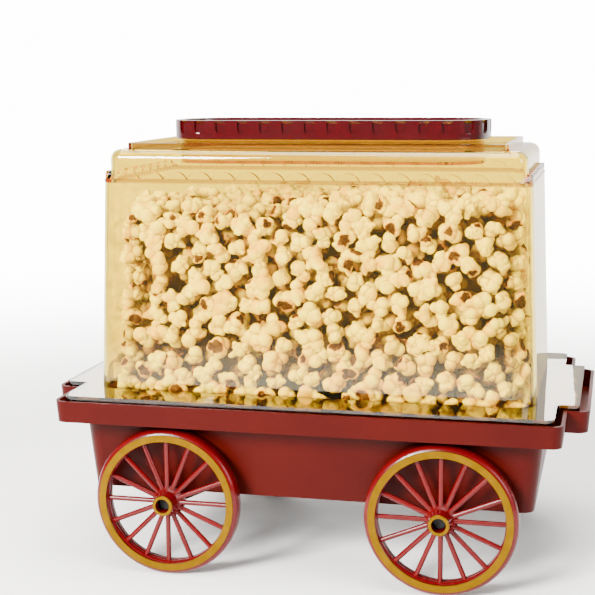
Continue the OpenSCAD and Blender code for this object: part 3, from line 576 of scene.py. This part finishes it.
def kernelSet(name):
    made = kernelShapes[name]
    group = bpy.data.collections.new(name + "Kernels")
    bpy.context.scene.collection.children.link(group)
    for i in range(made["count"]):
        group.objects.link(kernelMesh("%sKernel%02d" % (name, i), heapLook["seed"] * 100 + i, made["detail"],
                                     kernelForm))
    return group


kernelSets = {name: kernelSet(name) for name in kernelShapes}


for layer in layers:
    parts = layer["parts"]
    for part in range(parts):
        half = heapLook["halfLength"]
        span = [(-half + 2 * half * (part + k) / parts) * mm for k in (0, 1)]
        name = "%s%d" % (layer["name"], part + 1)
        skin = heapSkin(name + "Skin", layer["inset"], layer["low"], layer["top"], span)
        modifier = skin.modifiers.new("kernels", "NODES")
        modifier.node_group = scatter
        setInputs(modifier, scatter, {"Kernels": kernelSets[layer["shapes"]], "Spacing": layer["spacing"],
                                      "Size": heapLook["radius"] * mm, "Seed": layer["seed"] + 10 * part,
                                      "Finish": finishes["poppedMaize"]})
        piece = madePlain(skin, name)
        # each point of the kernels gets painted shade by how far in it lies
        shade = piece.data.attributes.new("paintedShade", "FLOAT", "POINT").data
        for vert in piece.data.vertices:
            vert.co = keptInside(vert.co)
            shade[vert.index].value = depthShadeAt(vert.co)
        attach(piece, "base")
        print(name, "laid:", len(piece.data.polygons), "faces")
# the middle of the heap, seen only as the brown dark between the kernels; it is painted shade, with both shade
# masks set near full
coreLook = dict(inset=34 * mm, low=147 * mm, spare=24 * mm, span=(-0.2, 0.2), shade=0.9)
core = heapSkin("popcornCore", coreLook["inset"], coreLook["low"], coreLook["spare"], coreLook["span"])
core.data.materials.append(finishes["poppedMaize"])
for inside in ("paintedShade", "crease"):
    shade = core.data.attributes.new(inside, "FLOAT", "POINT").data
    shade.foreach_set("value", [coreLook["shade"]] * len(core.data.vertices))
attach(core, "base")
for group in kernelSets.values():
    for kernel in list(group.objects):
        bpy.data.objects.remove(kernel)
    bpy.data.collections.remove(group)


stageLook = dict(floor="#F4F3F1", tone="#FAF9F8", rough=0.9, reach=2.4, under=0.0002, fade=(0.45, 1.7))


def makeStage(look):
    material, tree = emptyMaterial("paleStudioPaper")
    place = addNode(tree, "ShaderNodeTexCoord").outputs["Object"]
    fibre = addNode(tree, "ShaderNodeTexNoise", {"Scale": 3.0, "Detail": 2.0}, {"Vector": place})
    tone = addNode(tree, "ShaderNodeMix", {6: linear(look["floor"]), 7: linear(look["tone"])},
                   {0: fibre.outputs["Fac"]}, data_type="RGBA")
    shader = addNode(tree, "ShaderNodeBsdfPrincipled", {"Roughness": look["rough"]},
                     {"Base Color": tone.outputs[2]})
    # the paper fades into the white wall far behind the object, so that no edge shows
    away = addNode(tree, "ShaderNodeVectorMath", None, {0: place}, operation="LENGTH")
    faded = addNode(tree, "ShaderNodeMapRange", {"From Min": look["fade"][0], "From Max": look["fade"][1]},
                    {"Value": away.outputs["Value"]}, interpolation_type="SMOOTHSTEP")
    clear = addNode(tree, "ShaderNodeBsdfTransparent")
    paper = addNode(tree, "ShaderNodeMixShader", None,
                    {0: faded.outputs[0], 1: shader.outputs[0], 2: clear.outputs[0]})
    addNode(tree, "ShaderNodeOutputMaterial", None, {"Surface": paper.outputs[0]})
    mesh = bpy.data.meshes.new("studioFloor")
    r, z = look["reach"], -look["under"]
    mesh.from_pydata([(-r, -r, z), (r, -r, z), (r, r, z), (-r, r, z)], [], [(0, 1, 2, 3)])
    mesh.materials.append(material)
    floor = bpy.data.objects.new("studioFloor", mesh)
    bpy.context.collection.objects.link(floor)


makeStage(stageLook)

# The room gives a low even light. Behind the object, seen directly or through the clear cover, it is a white wall.
studioLight = dict(room=0.3, wall=15.0, through=1.3, gleam=3.0, gleamBack=(0.2, 0.7), gleamUp=(-0.05, 0.12),
                   gleamHigh=0.4, tint=(1.0, 0.99, 0.975, 1.0))
world = bpy.data.worlds.new("studio")
world.use_nodes = True
sky = world.node_tree
seenWall = addNode(sky, "ShaderNodeLightPath")
direct = addNode(sky, "ShaderNodeMapRange", {"To Min": studioLight["room"], "To Max": studioLight["wall"]},
                 {"Value": seenWall.outputs["Is Camera Ray"]})
strength = addNode(sky, "ShaderNodeMath", {1: studioLight["through"] - studioLight["room"]},
                   {0: seenWall.outputs["Is Transmission Ray"], 2: direct.outputs[0]}, operation="MULTIPLY_ADD")
# a surface that mirrors what stands behind the object shows the white wall too, mostly low down
facing = addNode(sky, "ShaderNodeSeparateXYZ", None, {0: addNode(sky, "ShaderNodeTexCoord").outputs["Generated"]})
behind = spanned(sky, studioLight["gleamBack"], facing.outputs["Y"], studioLight["gleam"])
lowDown = addNode(sky, "ShaderNodeMapRange", {"From Min": studioLight["gleamUp"][0],
                  "From Max": studioLight["gleamUp"][1], "To Min": 1.0, "To Max": studioLight["gleamHigh"]},
                  {"Value": facing.outputs["Z"]})
gleam = addNode(sky, "ShaderNodeMath", None, {0: behind, 1: lowDown.outputs[0]}, operation="MULTIPLY")
mirrored = addNode(sky, "ShaderNodeMath", None, {0: seenWall.outputs["Is Glossy Ray"], 1: gleam.outputs[0],
                   2: strength.outputs[0]}, operation="MULTIPLY_ADD")
sky.nodes["Background"].inputs[0].default_value = studioLight["tint"]
sky.links.new(mirrored.outputs[0], sky.nodes["Background"].inputs[1])
bpy.context.scene.world = world

lamps = [
    dict(name="frontKey", at=(-1.1, -2.1, 1.3), size=0.8, power=330),
    dict(name="overhead", at=(0.1, -0.2, 2.2), size=1.8, power=120),
    dict(name="rightFill", at=(2.0, -1.0, 0.9), size=1.1, power=40),
    dict(name="backLight", at=(-0.5, 2.2, 1.3), size=1.4, power=45),
]
lampTint, lampAim = (1.0, 0.98, 0.95), Vector((0, 0, 0.15))
for lamp in lamps:
    data = bpy.data.lights.new(lamp["name"], "AREA")
    data.shape = "SQUARE"
    data.size = lamp["size"]
    data.energy = lamp["power"]
    data.color = lampTint
    lampObject = bpy.data.objects.new(lamp["name"], data)
    lampObject.location = lamp["at"]
    lampObject.rotation_euler = (lampAim - Vector(lamp["at"])).to_track_quat("-Z", "Y").to_euler()
    bpy.context.collection.objects.link(lampObject)

viewpoint = dict(at=(224.809, -1047.737, 377.85), azimuth=13.597, down=9.359, roll=-0.419, focal=1333.406,
                 frame=595, film=36, clip=(0.05, 50))


def makeCamera(v):
    az, down, roll = (math.radians(v[k]) for k in ("azimuth", "down", "roll"))
    ahead = Vector((-math.sin(az) * math.cos(down), math.cos(az) * math.cos(down), -math.sin(down)))
    right = Vector((math.cos(az), math.sin(az), 0))
    up = right.cross(ahead)
    right, up = right * math.cos(roll) + up * math.sin(roll), up * math.cos(roll) - right * math.sin(roll)
    data = bpy.data.cameras.new("studioCamera")
    data.sensor_width = v["film"]
    data.lens = v["focal"] / v["frame"] * v["film"]
    data.clip_start, data.clip_end = v["clip"]
    camera = bpy.data.objects.new("studioCamera", data)
    turned = Matrix((right, up, -ahead)).transposed().to_4x4()
    camera.matrix_world = Matrix.Translation(Vector(v["at"]) * mm) @ turned
    bpy.context.collection.objects.link(camera)
    bpy.context.scene.camera = camera


makeCamera(viewpoint)
print("stage, lamps and camera set")
